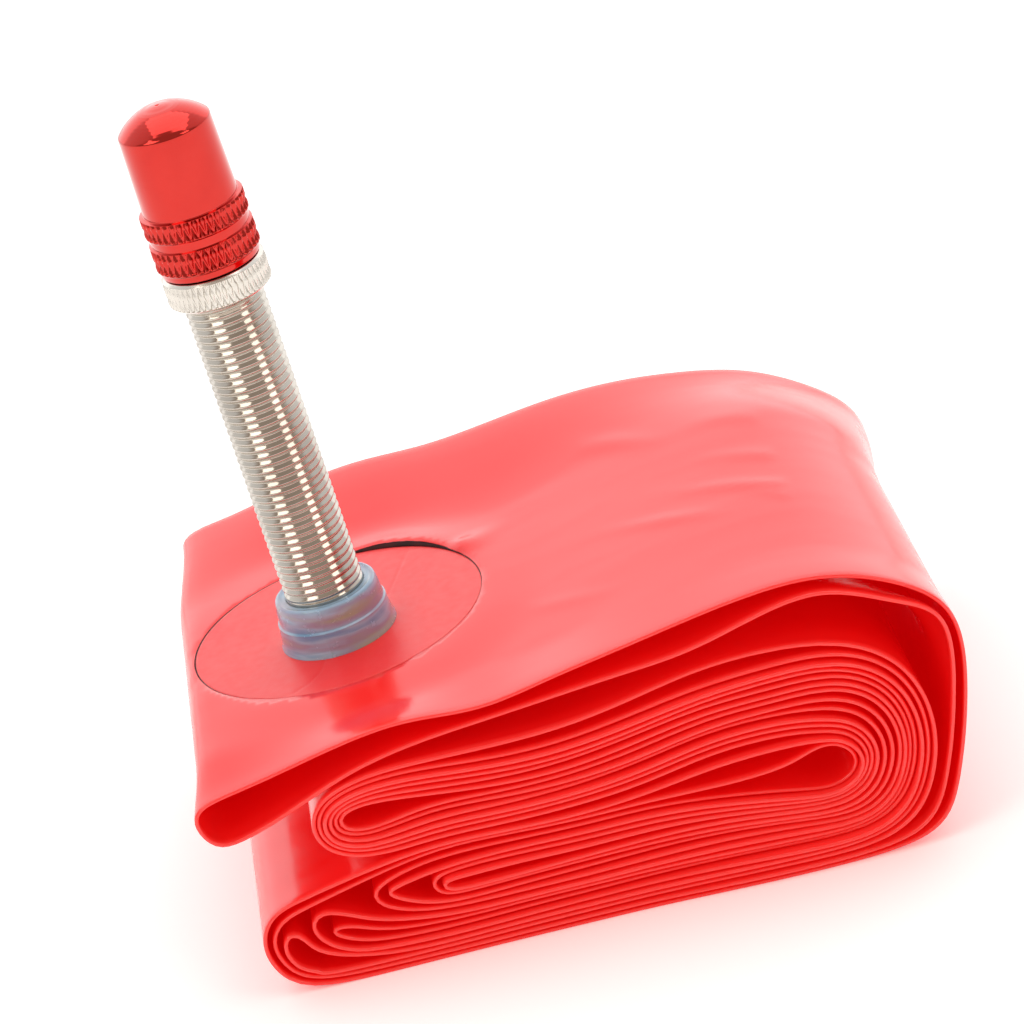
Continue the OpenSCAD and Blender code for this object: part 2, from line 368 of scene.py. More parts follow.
def subdivide(outline, length):
    """Adds points so that no stretch of a closed outline is longer than length."""
    made = []
    for i, point in enumerate(outline):
        after = outline[(i + 1) % len(outline)]
        pieces = max(1, math.ceil(np.linalg.norm(after - point) / length))
        made += [point + (after - point) * k / pieces for k in range(pieces)]
    return made


def turned(name, outline, material, relief, segments, step):
    """A turned part of the valve. outline is closed and lists radius, height along the stem and
    corner radius. relief(angle, r, s) gives the radius after threads or knurls are cut."""
    outline = subdivide(fillet(outline), step)
    r, s = np.array(outline).T
    angle = np.arange(segments) * 2 * math.pi / segments
    a, radius = np.meshgrid(angle, r, indexing="ij")
    height = np.broadcast_to(s, a.shape)
    radius = relief(a, radius, height)
    points = np.stack([radius * np.cos(a), radius * np.sin(a), height], -1).reshape(-1, 3)
    return add_mesh(name, points, grid_faces(segments, len(outline)), material, VALVE)


def triangle(x):
    """A wave from 0 at whole numbers to 1 halfway between them."""
    return 1 - np.abs(2 * (x - np.floor(x)) - 1)


def thread(pitch, depth, low, high, crest, run_out):
    """Cuts a helical V thread into the wall at radius crest, between low and high. It fades in and
    out over run_out. A slope above 1 leaves a narrow flat on the crest and at the root."""
    root, slope = 1.08, 1.22
    wall = crest - 0.01

    def relief(a, r, s):
        wave = triangle(s / pitch - a / (2 * math.pi))
        groove = depth * np.clip(root - slope * wave, 0, 1)
        fade = np.clip((s - low) / run_out, 0, 1) * np.clip((high - s) / run_out, 0, 1)
        return np.where(r > wall, r - groove * fade, r)

    return relief


def knurl(teeth, lead, depth, low, high, crest):
    """Cuts crossed V grooves, which leave diamonds, into the wall at radius crest, between low and
    high. lead is the height over which a groove moves on by one tooth."""
    slope = 1.3
    wall = crest - 0.02

    def relief(a, r, s):
        turns = a * teeth / (2 * math.pi)
        diamond = np.minimum(triangle(turns + (s - low) / lead), triangle(turns - (s - low) / lead))
        inside = (r > wall) & (s > low) & (s < high)
        return np.where(inside, r - depth * (1 - np.clip(slope * diamond, 0, 1)), r)

    return relief


def rise(value, start, end):
    """0 before start and 1 after end, with a soft S between."""
    t = np.clip((value - start) / (end - start), 0, 1)
    return t * t * (3 - 2 * t)


def bell(angle, centre, spread):
    """1 at the angle centre, falling off either side; centre and spread are in degrees."""
    away = (np.degrees(angle) - centre + 180) % 360 - 180
    return np.exp(-(away / spread) ** 2)


def bells(angle, heights):
    """A sum of bells, each given as its height, centre and spread."""
    return sum(height * bell(angle, centre, spread) for height, centre, spread in heights)


# ---------------------------------------------------------------- the loop's fold shape
# The loop has 32 rows, counted from the top, as in the CAD model. Row i turns into row 33 - i
# on the right. FRONT, MIDDLE and BACK are the fold's shape at three places across the tube.
ROWS = 32
FILM_T = 0.3
FLAT_W = 43.0
STATIONS = [-20, -15, -10, -5, 0, 5, 10, 15]  # the places in x at which a row's height is given

# Row number: the heights of its middle. A short row reaches only the last stations
HEIGHTS = {
    3: [15.5, 15.4, 15.4, 16.1, 17.2, 17.4],
    4: [15.0, 14.4, 14.3, 15.0, 15.9, 16.2],
    8: [12.9, 12.3, 12.2, 12.9, 13.9, 13.9],
    9: [12.1, 11.7, 11.7, 12.3, 13.4, 13.4],
    14: [9.6, 9.4, 9.4, 9.7, 10.8, 10.8],
    15: [7.2, 8.3, 9.05, 8.8, 8.6, 8.9, 9.8, 10.0],
    16: [6.4, 7.6, 8.55, 8.3, 8.1, 8.3, 8.1, 8.2],
    17: [7.9, 7.8, 7.6, 7.7, 7.1, 6.2],
    18: [7.1, 7.3, 7.1, 7.2, 6.65, 5.75],
    20: [6.3, 6.1, 6.2, 5.8, 5.0],
    21: [5.3, 5.4, 5.5, 5.35, 4.7],
    23: [4.2, 4.4, 4.4, 4.5, 4.4, 4.0],
    24: [3.8, 3.9, 3.9, 4, 3.95, 3.6],
    25: [4.0, 3.25, 3.4, 3.4, 3.5, 3.45, 3.2],
    26: [3.15, 2.75, 2.9, 2.9, 3, 2.95, 2.75],
    27: [2.5, 2.3, 2.45, 2.45, 2.5, 2.5, 2.35],
    28: [2.0, 1.85, 2, 2, 2.05, 2.05, 1.95],
    29: [2.6, 1.4, 1.4, 1.55, 1.55, 1.6, 1.6, 1.55],
    30: [1.05, 1.0, 1.0, 1.1, 1.1, 1.1, 1.1, 1.1],
    31: [0.62, 0.58, 0.58, 0.62, 0.62, 0.62, 0.62, 0.62],
    32: [0.15] * 8}

# The two rows that a left fold joins: its guide points, from the upper row down
LEFT_FOLDS = {
    (15, 32): [(-22.6, 6.6), (-23.8, 4.1), (-22.6, 1.1)],
    (16, 31): [(-22.0, 5.9), (-23.1, 4.1), (-22.1, 1.6)],
    (17, 24): [(-13.2, 7.3), (-15.4, 6.4), (-14.9, 5.1), (-12.8, 4.2)],
    (18, 23): [(-12.8, 6.6), (-14.4, 6.2), (-13.6, 5.5), (-12.2, 4.8)],
    (19, 22): [(-8.8, 6.75), (-11.2, 6.4), (-10.8, 4.9), (-8.6, 4.75)],
    (20, 21): [(-8.2, 6.2), (-10.4, 6.2), (-10.2, 5.3), (-8.0, 5.25)],
    (25, 28): [(-17.2, 5.2), (-19.1, 6.0), (-20.1, 4.9), (-19.2, 3.25), (-17.3, 2.25)],
    (26, 27): [(-16.8, 4.1), (-18.3, 4.4), (-18.7, 3.9), (-17.1, 3.0)],
    (29, 30): [(-20.6, 4.4), (-21.7, 4.9), (-22.3, 3.6), (-21.5, 1.9), (-20.2, 1.45)]}

# The spiral's folds on the left join rows 3 and 14, 4 and 13, and so on inwards
SPIRAL_FOLDS = 6
SPIRAL_FIRST, SPIRAL_LAST = 3, 14
SPIRAL_OUT = np.array([(-14.3, 15.4), (-18.1, 14.0), (-18.2, 10.6), (-14.9, 9.0)])
SPIRAL_IN = np.array([(-14.0, 13.4), (-16.2, 12.9), (-16.2, 11.6), (-14.0, 11.1)])

# Rows 3 to 16 nest unevenly on the right. NEST_SHARE is each one's share of the way in
NEST_FIRST = 3
NEST_OUT = np.array([(20.2, 16.9), (24.4, 14.3), (25.9, 9.0), (24.2, 3.2), (20.4, 1.1)])
NEST_IN = np.array([(17.1, 9.3), (19.0, 9.0), (20.0, 7.3), (18.75, 5.97), (17.05, 5.72)])
NEST_SPACES = [1.1, 1.1, 1.0, 0.85, 0.85, 0.85, 1.3, 1.3, 1.3, 0.85, 0.85, 0.85, 0.95]
NEST_SHARE = np.concatenate([[0], np.cumsum(NEST_SPACES)]) / sum(NEST_SPACES)

# The two top rows, the flap's end and the two wraps on the right at each place across the tube
FRONT = {
    1: [16.9, 18.1, 18.9, 18.1, 19.3, 20.1, 21.0, 21.8],
    2: [13.7, 15.9, 16.9, 17.3, 17.8, 18.3, 18.6, 20.2],
    "flap": [(-23.6, 16.3), (-25.4, 15.9), (-26.0, 14.6), (-24.9, 12.6), (-23.2, 12.7)],
    "wrap_out": [(20.4, 22.0), (25.4, 19.9), (28.8, 17.0), (28.4, 11.2), (26.2, 3.0), (23.6, 0.15)],
    "wrap_in": [(20.0, 21.2), (24.5, 18.7), (28.2, 17.2), (27.4, 11.0), (25.4, 3.3), (22.6, 0.64)]}
MIDDLE = {
    1: [17.25, 17.6, 17.95, 18.3, 18.7, 20.0, 21.0, 21.6],
    2: [14.4, 15.8, 17.0, 17.4, 17.8, 18.5, 18.9, 20.2],
    "flap": [(-23.9, 17.15), (-25.2, 16.5), (-25.1, 14.4), (-24.2, 13.1), (-22.6, 13.3)],
    "wrap_out": [(20.4, 21.8), (25.4, 19.6), (28.7, 16.4), (28.4, 11.2), (26.2, 3.0), (23.6, 0.15)],
    "wrap_in": [(20.0, 20.7), (23.8, 17.8), (26.9, 14.9), (27.2, 11.0), (25.4, 3.3), (22.6, 0.64)]}
BACK = {
    1: [18.0, 19.2, 19.9, 19.6, 20.3, 21.1, 21.3, 20.8],
    2: [16.4, 17.1, 17.5, 17.7, 18.0, 18.8, 19.2, 19.3],
    "flap": [(-22.8, 17.7), (-24.1, 17.1), (-24.3, 16.2), (-23.7, 15.5), (-22.4, 15.6)],
    "wrap_out": [(20.2, 19.8), (24.6, 17.2), (27.9, 14.4), (28.2, 10.0), (26.2, 3.0), (23.6, 0.15)],
    "wrap_in": [(20.0, 18.8), (24.0, 16.6), (26.8, 13.8), (27.2, 10.2), (25.4, 3.3), (22.6, 0.64)]}


def row_heights(row, place):
    """A row's heights. Rows that aren't listed lie evenly between the listed ones."""
    if row in place:
        return place[row]
    if row in HEIGHTS:
        return HEIGHTS[row]
    above = max(r for r in HEIGHTS if r < row)
    below = min(r for r in HEIGHTS if r > row)
    reach = min(len(HEIGHTS[above]), len(HEIGHTS[below]))
    share = (row - above) / (below - above)
    return [a + (b - a) * share for a, b in zip(HEIGHTS[above][-reach:], HEIGHTS[below][-reach:])]


def row_points(row, place):
    """Guide points of a row, from the left."""
    heights = row_heights(row, place)
    return list(zip(STATIONS[-len(heights):], heights))


def right_fold(row, place):
    """Guide points of the fold at a row's right end, from the row down."""
    if row == 1:
        return place["wrap_out"]
    if row == 2:
        return place["wrap_in"]
    return (NEST_OUT + (NEST_IN - NEST_OUT) * NEST_SHARE[row - NEST_FIRST]).tolist()


def left_folds(place):
    """For each row: the row that its left end turns into, and the guide points on the way."""
    folds = dict(LEFT_FOLDS)
    folds[(1, 2)] = place["flap"]
    for k in range(SPIRAL_FOLDS):
        fold = SPIRAL_OUT + (SPIRAL_IN - SPIRAL_OUT) * k / (SPIRAL_FOLDS - 1)
        folds[(SPIRAL_FIRST + k, SPIRAL_LAST - k)] = fold.tolist()
    ways = {}
    for (upper, lower), points in folds.items():
        ways[upper] = (lower, points)
        ways[lower] = (upper, points[::-1])
    return ways


def guide_points(place):
    """The closed loop's guide points, and the row that each belongs to (0 in a fold)."""
    ways = left_folds(place)
    points = []
    rows = []
    row = 1
    while not points or row != 1:
        back = ROWS + 1 - row
        right = right_fold(min(row, back), place)
        if row > back:
            right = right[::-1]
        next_row, left = ways[back]
        for stretch, number in ((row_points(row, place), row), (right, 0),
                                (row_points(back, place)[::-1], back), (left, 0)):
            points += stretch
            rows += [number] * len(stretch)
        row = next_row
    return np.array(points, float), rows


def spline(points, steps):
    """A closed cubic B-spline; steps gives how many points each span has."""
    made = []
    count = len(points)
    for i in range(count):
        a, b, c, d = (points[(i + k) % count] for k in (-1, 0, 1, 2))
        for k in range(steps[i]):
            t = k / steps[i]
            made.append(((1 - t) ** 3 * a + (3 * t ** 3 - 6 * t * t + 4) * b
                         + (-3 * t ** 3 + 3 * t * t + 3 * t + 1) * c + t ** 3 * d) / 6)
    return np.array(made)


# ---------------------------------------------------------------- the film's section
ACROSS_POINTS = 73
EDGE_POINTS = 7  # of a half circle round a cut edge; its two ends belong to the flat sides


def film_section():
    """Section round the flat tube: over the top, round the back edge, back, round the front edge.
    Each point is its place across the tube and the side of the film that it is on, from 1 to -1."""
    bead = FILM_T / 2
    inner = FLAT_W / 2 - bead
    across = np.linspace(-inner, inner, ACROSS_POINTS)
    turns = np.linspace(0, math.pi, EDGE_POINTS)[1:-1]
    section = [(y, 1.0) for y in across]
    section += [(inner + bead * math.sin(t), math.cos(t)) for t in turns]
    section += [(-y, -1.0) for y in across]
    section += [(-inner - bead * math.sin(t), -math.cos(t)) for t in turns]
    return section


# ---------------------------------------------------------------- the film round the patch
# The cut round the patch is a hairline that is wider in three places, and the film's edge stands
# up in two: how much, at which angle and over what spread in degrees
HAIR_GAP = 0.02
CUT_WIDTHS = [(0.12, 155, 60), (0.07, 15, 18), (0.34, 60, 24)]
EDGE_LIFTS = [(0.32, 60, 27), (0.03, 250, 40)]
LIFT_FADE = 2.2  # the distance from the patch over which the lift fades
# A pucker in the film runs from the patch to the right and bends backwards as it goes
PUCKER_H = 0.5
PUCKER_PLACE = 30  # degrees
PUCKER_BEND = 0.6  # degrees per millimetre
PUCKER_SPREAD = 5  # degrees
PUCKER_RISE = (-0.1, 0.6)  # distances from the patch between which it rises
PUCKER_FADE = 3.8
SUNK = -0.7  # the height at which the film runs on beneath the patch
FLUSH_REACH = 6  # within this distance, the film leaves the patch's level
FLAP_BEND = (-11.7, -10.8)  # between these, the patch's level gives way to the flap's bend

# Soft wrinkles in the top film: where each starts and ends in x and y, its width and its height
WRINKLES = [((5.5, -2.2), (16.0, -7.2), 0.8, 0.1), ((10.5, -0.2), (25.0, -7.0), 0.8, 0.12),
            ((16.0, -3.5), (27.0, -12.5), 0.7, 0.1), ((13.0, 4.0), (27.0, -2.5), 0.9, 0.09),
            ((5.0, 14.0), (13.0, 8.5), 1.3, 0.14), ((-1.0, -8.5), (6.5, -12.5), 0.9, 0.07),
            ((14.0, 10.5), (26.0, 5.0), 1.2, 0.08)]


def top_wrinkles(x, y):
    """Height of the soft wrinkles in the top film."""
    height = np.zeros_like(x)
    for start, end, width, tall in WRINKLES:
        along = np.clip((x - start[0]) / (end[0] - start[0]), 0, 1)
        line = start[1] + (end[1] - start[1]) * along
        height += tall * np.sin(math.pi * along) ** 1.5 * np.exp(-((y - line) / width) ** 2)
    return height


def patch_hole(angle):
    """Radius of the film's edge round the patch."""
    return PATCH_R + HAIR_GAP + bells(angle, CUT_WIDTHS)


def patch_lip(angle):
    """Height of the film's edge over the patch."""
    return bells(angle, EDGE_LIFTS)


def nearest_to_outline(clear):
    """Where a mesh edge crosses the outline, marks the end that lies nearer to it. clear is each
    point's distance from the outline, below 0 inside it."""
    snap = np.zeros(clear.shape, bool)
    neighbours = ((clear[:-1], clear[1:], snap[:-1], snap[1:]),
                  (clear[:, :-1], clear[:, 1:], snap[:, :-1], snap[:, 1:]))
    for one, two, snap_one, snap_two in neighbours:
        crossed = one * two < 0
        nearer = np.abs(one) <= np.abs(two)
        snap_one |= crossed & nearer
        snap_two |= crossed & ~nearer
    return snap


def patch_seat(points, on_top):
    """Sets the top film flush with the patch and puts an edge of its mesh on the patch's outline.
    Returns which points are on the outline."""
    to_valve = np.array(VALVE.inverted())
    to_frame = np.array(VALVE)
    local = points[on_top] @ to_valve[:3, :3].T + to_valve[:3, 3]
    x, y = local[..., 0], local[..., 1] - PATCH_BACK
    angle = np.arctan2(y, x)
    clear = np.hypot(x, y) - patch_hole(angle)
    snap = nearest_to_outline(clear)
    for k, turn in enumerate((np.cos(angle), np.sin(angle))):
        local[..., k] -= np.where(snap, clear * turn, 0)
    outside = snap | (clear > 0)
    reach = np.where(snap, 0, np.maximum(clear, 0))
    under = FILM_T / 2 * (np.array([side for _, side in film_section()]) - 1)
    lip = patch_lip(angle) * np.exp(-(reach / LIFT_FADE) ** 2)
    pucker = PUCKER_H * bell(angle, PUCKER_PLACE + PUCKER_BEND * reach, PUCKER_SPREAD)
    pucker = pucker * rise(reach, *PUCKER_RISE) * np.exp(-reach / PUCKER_FADE)
    seat = np.where(outside, lip + pucker, SUNK) + under
    hold = (1 - rise(reach, 0, FLUSH_REACH)) * rise(local[..., 0], *FLAP_BEND)
    local[..., 2] += (seat - local[..., 2]) * hold
    points[on_top] = local @ to_frame[:3, :3].T + to_frame[:3, 3]
    on_edge = np.zeros(points.shape[:2], bool)
    on_edge[on_top] = snap
    return on_edge


# ---------------------------------------------------------------- the folded tube
MIDDLE_REACH = (-15, 9)  # between these the shape is MIDDLE throughout, so the patch lies flat
# The loop's right end draws in from the front to the back: how far, and between which places
END_TAPER = 1.3
TAPER_X = (15, 28)
TAPER_Y = (-21, 5)
# The rows at the lower right stand out at the front: how far, and between which places
PROUD = 0.6
PROUD_X = (2, 16)
PROUD_Z = (6, 1)
# How far the loop's front and back edges wander, and the seeds of their waves
FRONT_WANDER = 0.28
FRONT_SEED = 11
BACK_WANDER = 0.35
BACK_SEED = 12
WANDER_WAVES = 60
WANDER_SCALE = 2.5  # brings the sum of the waves to about 1
# How far apart the loop's mesh points may lie: on the top row, in the folds, on the other rows
TOP_STEP = 0.55
FOLD_STEP = 0.5
ROW_STEP = 1.6
LEAST_STEPS = 3
FLAP_SPANS = 2  # the flap's last spans, which belong to the top film


def wander(position, period, seed):
    """A smooth closed wave along the loop, mostly from -1 to 1, the same each run."""
    random = np.random.default_rng(seed)
    total = np.zeros_like(position)
    for k in range(1, WANDER_WAVES + 1):
        phase = random.uniform(0, 2 * math.pi)
        total += np.sin(2 * math.pi * k * position / period + phase) / k ** 0.5
    return total / WANDER_SCALE


def outward(line):
    """The loop's outward direction at each point."""
    along = np.roll(line, -1, 0) - np.roll(line, 1, 0)
    along /= np.linalg.norm(along, axis=1)[:, None]
    return np.stack([-along[:, 1], along[:, 0]], 1)


def loop_length(line):
    return float(np.linalg.norm(np.roll(line, -1, 0) - line, axis=1).sum())


def span_steps(points, rows):
    """How many mesh points each span of the loop gets."""
    lengths = np.linalg.norm(np.roll(points, -1, 0) - points, axis=1)
    limits = [TOP_STEP if row == 1 else FOLD_STEP if row == 0 else ROW_STEP for row in rows]
    return [max(LEAST_STEPS, math.ceil(length / limit)) for length, limit in zip(lengths, limits)]


def tapered(line, y):
    """The loop with its right end drawn in, more so towards the back."""
    low, high = TAPER_Y
    drawn = line.copy()
    drawn[:, 0] -= END_TAPER * np.clip((y - low) / (high - low), 0, 1) * rise(line[:, 0], *TAPER_X)
    return drawn


def film_faces(points, on_edge):
    """Quads over the film. One that the patch's outline crosses is split along the outline."""
    faces = []
    edge = on_edge.ravel()
    for a, b, c, d in grid_faces(*points.shape[:2]):
        if edge[a] and edge[c]:
            faces += [(a, b, c), (a, c, d)]
        elif edge[b] and edge[d]:
            faces += [(a, b, d), (b, c, d)]
        else:
            faces.append((a, b, c, d))
    return faces


def film_points(front, middle, back):
    """The section carried round the loop, as points by step along the loop and place in the section.
    The loop's line is given at the front, in the middle and at the back of the tube."""
    half = FLAT_W / 2
    steps = np.linalg.norm(np.diff(middle, axis=0), axis=1)
    position = np.concatenate([[0], np.cumsum(steps)])
    stagger_front = FRONT_WANDER * wander(position, loop_length(middle), FRONT_SEED)
    stagger_back = BACK_WANDER * wander(position, loop_length(middle), BACK_SEED)
    points = []
    for y, side in film_section():
        if y < MIDDLE_REACH[0]:
            share = rise(y, MIDDLE_REACH[0], -half)
            line = tapered(middle + (front - middle) * share, y)
            proud = PROUD * rise(line[:, 0], *PROUD_X) * rise(line[:, 1], *PROUD_Z)
            edge = (stagger_front - proud) * share
        else:
            share = rise(y, MIDDLE_REACH[1], half)
            line = tapered(middle, y) * (1 - share) + back * share
            edge = stagger_back * share
        line = line + outward(line) * (side * FILM_T / 2)
        points.append(np.stack([line[:, 0], y + edge, line[:, 1]], 1))
    return np.stack(points, 1)


def film_piece():
    """The flat tube as one mesh: a thin closed section carried round the folded loop."""
    (front, rows), (middle, _), (back, _) = (guide_points(place) for place in (FRONT, MIDDLE, BACK))
    steps = span_steps(middle, rows)
    front, middle, back = (spline(points, steps) for points in (front, middle, back))
    top_rows = [row == 1 for row in rows[:-FLAP_SPANS]] + [True] * FLAP_SPANS

    # The mesh starts at the top film's left end, so that the top film is in one stretch
    lead = sum(steps[-FLAP_SPANS:])
    points = np.roll(film_points(front, middle, back), lead, 0)
    on_top = np.roll(np.repeat(top_rows, steps), lead)
    points[on_top, :, 2] += top_wrinkles(points[on_top, :, 0], points[on_top, :, 1])
    on_edge = patch_seat(points, on_top)

    tube = add_mesh("tube_film", points.reshape(-1, 3), film_faces(points, on_edge), FILM)
    tie(tube, "root", "tube_film", "tube")


# ---------------------------------------------------------------- the patch
SPOKES, RINGS = 360, 60
PATCH_INNER = 0.16  # the disc's hole, which the collar hides, as a share of its radius
PATCH_UNDERSIDE = 0.02 - PATCH_T
CROWN_H = 0.03
# The disc swells up to the collar's foot, at radius SWELL_R
SWELL_R = 4.3
SWELL_H = 0.12
SWELL_FADE = 0.7
# Mould marks on the patch: a straight one at the back right and a curved one at the front left
MARK_DEPTH = 0.05
MARK_WIDTH = 0.09
MOULD_LINE = [(3.6, 2.6), (6.0, 10.4)]
MOULD_CURVE = [(-1.4, -4.1), (-1.9, -5.6), (-2.8, -6.8), (-4.0, -7.6)]
# The dark ring of painted shade that fills the cut: its depth, how far it lies below the surface
# round it, and how far it reaches under the disc and the film
GAP_DEPTH = 0.25
GAP_SINK = 0.012
UNDER_DISC = 0.03
UNDER_FILM = 0.01


def hairline(x, y, start, end):
    """1 on a line from start to end and 0 beside it."""
    start, end = np.array(start), np.array(end)
    along = end - start
    t = np.clip(((x - start[0]) * along[0] + (y - start[1]) * along[1]) / along.dot(along), 0, 1)
    away = np.hypot(x - start[0] - t * along[0], y - start[1] - t * along[1])
    return np.exp(-(away / MARK_WIDTH) ** 2)


def patch_piece():
    """The moulded disc: a gentle crown, a swell round the collar and a few hairline mould marks."""
    angle = np.arange(SPOKES) * 2 * math.pi / SPOKES
    a, t = np.meshgrid(angle, np.linspace(PATCH_INNER, 1, RINGS), indexing="ij")
    x, y = PATCH_R * t * np.cos(a), PATCH_R * t * np.sin(a) + PATCH_BACK
    swell = SWELL_H * np.exp(-np.clip(np.hypot(x, y) - SWELL_R, 0, None) / SWELL_FADE)
    marks = hairline(x, y, *MOULD_LINE)
    for start, end in zip(MOULD_CURVE, MOULD_CURVE[1:]):
        marks = np.maximum(marks, hairline(x, y, start, end))
    top = np.stack([x, y, CROWN_H * (1 - t ** 2) + swell - MARK_DEPTH * marks], -1)
    under = top[:, ::-1].copy()
    under[:, :, 2] = PATCH_UNDERSIDE
    points = np.concatenate([top, under], 1).reshape(-1, 3)
    disc = add_mesh("valve_patch_disc", points, grid_faces(SPOKES, 2 * RINGS), PATCH, VALVE)
    tie(disc, "root", "patch_film", "valve_patch")


def patch_gap_shade_piece():
    """A ring of painted shade that fills the cut between the disc and the film's edge."""
    angle = np.arange(SPOKES) * 2 * math.pi / SPOKES
    inner = PATCH_R - UNDER_DISC
    outer = patch_hole(angle) + UNDER_FILM
    high = patch_lip(angle) - GAP_SINK
    corners = [(inner, -GAP_DEPTH), (inner, -GAP_SINK), (outer, high), (outer, -GAP_DEPTH)]
    section = []
    for radius, height in corners:
        section.append(np.stack([radius * np.cos(angle), radius * np.sin(angle) + PATCH_BACK,
                                 np.broadcast_to(height, angle.shape)], -1))
    points = np.stack(section, 1).reshape(-1, 3)
    # This ring's dark colour is painted shade in the cut and under the film's lifted edge.
    ring = add_mesh("valve_patch_gap_painted_shade", points, grid_faces(SPOKES, len(corners)), GAP_SHADE, VALVE)
    tie(ring, "root", "patch_film")


# ---------------------------------------------------------------- the turned pieces
def collar_piece():
    """The moulded collar: a flared foot, a ridge halfway up, a lip round a filled mouth and a
    mould line down the front."""
    bore = STEM_R + 0.02
    wall_r = 3.6
    line_place, line_width = 1.44 * math.pi, 0.014
    line_height = 0.035
    outline = [(bore, 0, 0), (4.3, 0, 0.05), (4.28, 0.2, 0.1), (4.16, 0.55, 0.15), (4.02, 1.86, 0.1),
               (4.03, 1.97, 0.03), (3.88, 2.06, 0.05), (3.84, 3.1, 0.3), (3.7, 3.7, 0.2),
               (3.5, 3.8, 0.1), (3.34, 3.72, 0.1), (3.2, 3.68, 0.1), (bore, 3.7, 0)]

    def mould_line(a, r, s):
        away = (a - line_place) / line_width
        return np.where(r > wall_r, r + line_height * np.exp(-away ** 2), r)

    collar = turned("valve_collar_moulding", outline, COLLAR, mould_line, segments=420, step=0.2)
    tie(collar, "root", "collar_plastic", "valve_collar")


def stem_piece():
    """The stem with its helical thread and the bore that holds the core."""
    seat = CORE_FOOT - 0.5
    outline = [(STEM_BORE, 0, 0), (STEM_R, 0, 0), (STEM_R, STEM_TOP - 0.4, 0.1),
               (STEM_R - 0.3, STEM_TOP, 0.1), (CORE_BORE, STEM_TOP, 0), (CORE_BORE, seat, 0),
               (STEM_BORE, seat, 0)]
    cut = thread(STEM_PITCH, depth=0.17, low=3.9, high=STEM_TOP - 0.1, crest=STEM_R, run_out=0.2)
    stem = turned("valve_stem_threaded", outline, NICKEL, cut, segments=96, step=STEM_PITCH / 14)
    tie(stem, "root", "nickel", "valve_stem")


def core_body_piece():
    """The core's body: a groove for the gasket, and a threaded neck with two spanner flats."""
    core_r = CORE_BORE - 0.02
    groove_r = core_r - 0.33
    groove = CORE_FOOT + 4.1
    groove_top = groove + 0.8
    neck_foot = STEM_TOP + 0.1
    half_flat = 2.2
    flat_foot = NECK_TOP - 3
    neck_thread = thread(pitch=0.72, depth=0.26, low=neck_foot + 0.15, high=NECK_TOP - 0.1,
                         crest=NECK_R, run_out=0.3)

    def neck(a, r, s):
        cut = neck_thread(a, r, s)
        limit = half_flat / np.maximum(np.abs(np.cos(a)), 0.05)
        return np.where((s > flat_foot) & (cut > limit), limit, cut)

    outline = [(PIN_BORE, CORE_FOOT, 0), (core_r, CORE_FOOT, 0.1), (core_r, groove, 0),
               (groove_r, groove, 0), (groove_r, groove_top, 0), (core_r, groove_top, 0),
               (core_r, neck_foot - 0.05, 0), (NECK_R, neck_foot, 0.1), (NECK_R, NECK_TOP, 0.12),
               (PIN_BORE, NECK_TOP, 0)]
    body = turned("core_body_threaded", outline, BRASS, neck, segments=96, step=0.09)
    tie(body, "root", "brass", "core_body")


def core_pin_piece():
    """The pin: a flat foot below the seal, and a thread at the top for the lock nut."""
    foot = CORE_FOOT - 2
    foot_r = 1.1
    cut = thread(pitch=0.45, depth=0.14, low=CORE_FOOT + 8.5, high=PIN_TOP - 0.3, crest=PIN_R,
                 run_out=0.3)
    outline = [(AXIS, foot, 0), (foot_r, foot, 0.1), (foot_r, foot + 0.58, 0.05),
               (PIN_R, foot + 0.6, 0), (PIN_R, PIN_TOP - 0.2, 0.1), (0.5, PIN_TOP, 0.05),
               (AXIS, PIN_TOP, 0)]
    pin = turned("core_pin_threaded", outline, BRASS, cut, segments=40, step=0.06)
    tie(pin, "pin", "brass", "core_pin")


def lock_nut_piece():
    """The knurled lock nut, on the core's neck."""
    low, high = NECK_TOP + 0.06, NECK_TOP + 2.24
    radius, end_r = 1.9, 1.6
    chamfer = 0.34
    outline = [(PIN_BORE, low, 0), (end_r, low, 0.1), (radius, low + chamfer, 0.08),
               (radius, high - chamfer, 0.08), (end_r, high, 0.1), (PIN_BORE, high, 0)]
    cut = knurl(teeth=20, lead=1.1, depth=0.14, low=low + chamfer, high=high - chamfer,
                crest=radius)
    nut = turned("core_lock_nut_knurled", outline, BRASS, cut, segments=160, step=0.1)
    tie(nut, "lock_nut", "brass", "core_lock_nut")


def rim_nut_piece():
    """The rim nut: a fine diamond knurl between two smooth chamfers."""
    low, high = STEM_TOP + 0.06 - NUT_H, STEM_TOP + 0.04
    bore = STEM_R + 0.05
    chamfer = 0.25
    outline = [(bore, low, 0.1), (NUT_R - chamfer, low, 0.1), (NUT_R, low + chamfer, 0.05),
               (NUT_R, high - chamfer, 0.05), (NUT_R - chamfer, high, 0.1), (bore, high, 0.1)]
    cut = knurl(teeth=52, lead=2.1, depth=0.16, low=low + chamfer - 0.01,
                high=high - chamfer + 0.01, crest=NUT_R)
    nut = turned("rim_nut_knurled", outline, BRIGHT_NICKEL, cut, segments=520, step=0.075)
    tie(nut, "rim_nut", "nickel", "rim_nut")


